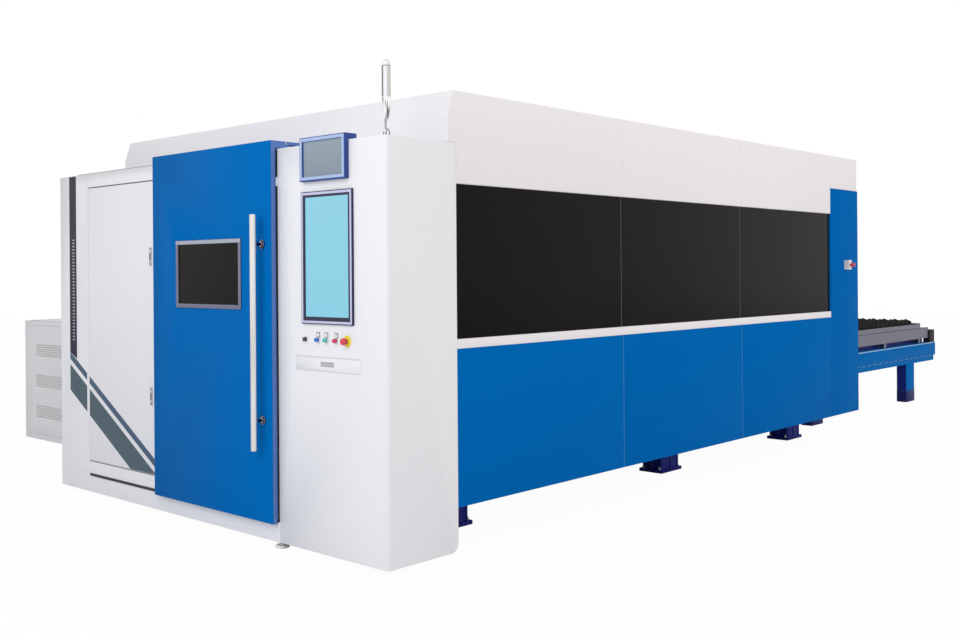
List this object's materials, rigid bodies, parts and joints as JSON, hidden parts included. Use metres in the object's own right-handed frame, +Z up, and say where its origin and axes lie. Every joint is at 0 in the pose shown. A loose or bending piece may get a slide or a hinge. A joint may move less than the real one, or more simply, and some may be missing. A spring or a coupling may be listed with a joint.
{
  "type": "fiber laser cutting machine",
  "caption": "Enclosed fiber laser cutting machine with a sliding operator door, control console, gantry, shuttle table with slatted pallet, and a separate chiller.",
  "frame": {"origin": "centre of the bounding box on the floor", "axes": "+X along the machine from the operator end to the shuttle table, +Y to the far side, +Z up"},
  "size_m": [9.853, 6.245, 2.626],
  "materials": {
    "blue_steel": "satin paint",
    "navy_steel": "satin paint",
    "white_steel": "satin paint",
    "grey_steel": "satin paint",
    "ground_steel": "ground",
    "bright_steel": "brushed",
    "pallet_steel": "mill finish",
    "slat_steel": "scaled",
    "grey_aluminium": "satin",
    "pale_aluminium": "satin",
    "dark_glass": "tinted",
    "screen_glass": "lit",
    "black_plastic": "matt",
    "pale_plastic": "matt",
    "grey_plastic": "matt",
    "grey_acrylic": "gloss",
    "blue_plastic": "gloss",
    "green_plastic": "gloss",
    "red_plastic": "gloss",
    "yellow_plastic": "gloss",
    "lamp_plastic": "translucent"
  },
  "bodies": {
    "machine": {"bed_frame": "blue_steel", "machine_feet": "navy_steel", "gantry_rails": "ground_steel", "gantry_racks": "ground_steel", "side_frames": "white_steel", "near_lower_panel_1": "blue_steel", "near_lower_panel_2": "blue_steel", "near_lower_panel_3": "blue_steel", "near_window_1": "dark_glass", "near_window_2": "dark_glass", "near_window_3": "dark_glass", "far_lower_panels": "blue_steel", "far_windows": "dark_glass", "near_sill_rail": "white_steel", "far_sill_rail": "white_steel", "roof_hood": "white_steel", "end_housing": "white_steel", "console_housing": "white_steel", "door_track": "ground_steel", "door_guide": "black_plastic", "electrics_panel": "grey_steel", "sign_box": "pale_aluminium", "sign_panel": "grey_acrylic", "monitor_bezel": "pale_aluminium", "monitor_screen": "screen_glass", "control_bezels": "bright_steel", "estop_plate": "yellow_plastic", "stack_light_base": "pale_plastic", "stack_light_lens": "lamp_plastic", "near_column": "blue_steel", "far_column": "blue_steel", "rear_portal": "blue_steel", "column_estop_box": "grey_plastic", "exchange_frame": "blue_steel", "chiller_cabinet": "white_steel", "cable_duct": "grey_steel"},
    "sliding_door": {"door_panel": "blue_steel", "door_window_frame": "grey_aluminium", "door_window_glass": "dark_glass", "door_handle": "bright_steel"},
    "service_door": {"service_door": "white_steel"},
    "lower_latch": {"lower_latch": "bright_steel"},
    "upper_latch": {"upper_latch": "bright_steel"},
    "blue_button": {"blue_button": "blue_plastic"},
    "green_button": {"green_button": "green_plastic"},
    "red_button": {"red_button": "red_plastic"},
    "console_estop": {"console_estop": "red_plastic"},
    "column_estop": {"column_estop": "red_plastic"},
    "key": {"key_switch": "bright_steel"},
    "drawer": {"keyboard_drawer": "pale_aluminium", "keyboard": "black_plastic"},
    "gantry": {"gantry_beam": "grey_steel"},
    "carriage": {"gantry_carriage": "grey_aluminium"},
    "head": {"cutting_head": "bright_steel"},
    "pallet": {"pallet_frame": "pallet_steel", "pallet_slats": "slat_steel"},
    "wheels_1": {"pallet_wheels_1": "ground_steel"},
    "wheels_2": {"pallet_wheels_2": "ground_steel"},
    "wheels_3": {"pallet_wheels_3": "ground_steel"},
    "wheels_4": {"pallet_wheels_4": "ground_steel"}
  },
  "joints": [
    {"name": "door_slide", "type": "slide", "parent": "machine", "child": "sliding_door", "axis": [0, 1, 0], "range_m": [0, 1.15]},
    {"name": "service_hinge", "type": "hinge", "parent": "machine", "child": "service_door", "pos_m": [-4.7955, -0.0125, 1.202], "axis": [0, 0, 1], "range_deg": [-100, 0]},
    {"name": "lower_latch_turn", "type": "hinge", "parent": "service_door", "child": "lower_latch", "pos_m": [-4.8065, -0.8175, 0.811], "axis": [1, 0, 0], "range_deg": [0, 90]},
    {"name": "upper_latch_turn", "type": "hinge", "parent": "service_door", "child": "upper_latch", "pos_m": [-4.8065, -0.8175, 1.708], "axis": [1, 0, 0], "range_deg": [0, 90]},
    {"name": "blue_press", "type": "slide", "parent": "machine", "child": "blue_button", "axis": [1, 0, 0], "range_m": [0, 0.004], "stiffness_N_per_m": 800},
    {"name": "green_press", "type": "slide", "parent": "machine", "child": "green_button", "axis": [1, 0, 0], "range_m": [0, 0.004], "stiffness_N_per_m": 800},
    {"name": "red_press", "type": "slide", "parent": "machine", "child": "red_button", "axis": [1, 0, 0], "range_m": [0, 0.004], "stiffness_N_per_m": 800},
    {"name": "console_estop_press", "type": "slide", "parent": "machine", "child": "console_estop", "axis": [1, 0, 0], "range_m": [0, 0.004], "stiffness_N_per_m": 1500},
    {"name": "column_estop_press", "type": "slide", "parent": "machine", "child": "column_estop", "axis": [0, 1, 0], "range_m": [0, 0.004], "stiffness_N_per_m": 1500},
    {"name": "key_turn", "type": "hinge", "parent": "machine", "child": "key", "pos_m": [-4.8135, -2.3975, 1.189], "axis": [1, 0, 0], "range_deg": [0, 90]},
    {"name": "drawer_slide", "type": "slide", "parent": "machine", "child": "drawer", "axis": [-1, 0, 0], "range_m": [0, 0.3]},
    {"name": "gantry_travel", "type": "slide", "parent": "machine", "child": "gantry", "axis": [1, 0, 0], "range_m": [-0.8, 3.2]},
    {"name": "carriage_travel", "type": "slide", "parent": "gantry", "child": "carriage", "axis": [0, 1, 0], "range_m": [-0.2, 1.4]},
    {"name": "head_travel", "type": "slide", "parent": "carriage", "child": "head", "axis": [0, 0, 1], "range_m": [-0.08, 0.1]},
    {"name": "pallet_travel", "type": "slide", "parent": "machine", "child": "pallet", "axis": [-1, 0, 0], "range_m": [0, 4.15]},
    {"name": "wheel_roll_1", "type": "hinge", "parent": "pallet", "child": "wheels_1", "pos_m": [1.3735, -1.3725, 0.68], "axis": [0, 1, 0], "continuous": true},
    {"name": "wheel_roll_2", "type": "hinge", "parent": "pallet", "child": "wheels_2", "pos_m": [2.4075, -1.3725, 0.68], "axis": [0, 1, 0], "continuous": true},
    {"name": "wheel_roll_3", "type": "hinge", "parent": "pallet", "child": "wheels_3", "pos_m": [3.4415, -1.3725, 0.68], "axis": [0, 1, 0], "continuous": true},
    {"name": "wheel_roll_4", "type": "hinge", "parent": "pallet", "child": "wheels_4", "pos_m": [4.4755, -1.3725, 0.68], "axis": [0, 1, 0], "continuous": true}
  ],
  "couplings": [
    {"joint": "wheel_roll_1", "follows": "pallet_travel", "rad_per_m": -35.714},
    {"joint": "wheel_roll_2", "follows": "pallet_travel", "rad_per_m": -35.714},
    {"joint": "wheel_roll_3", "follows": "pallet_travel", "rad_per_m": -35.714},
    {"joint": "wheel_roll_4", "follows": "pallet_travel", "rad_per_m": -35.714}
  ]
}
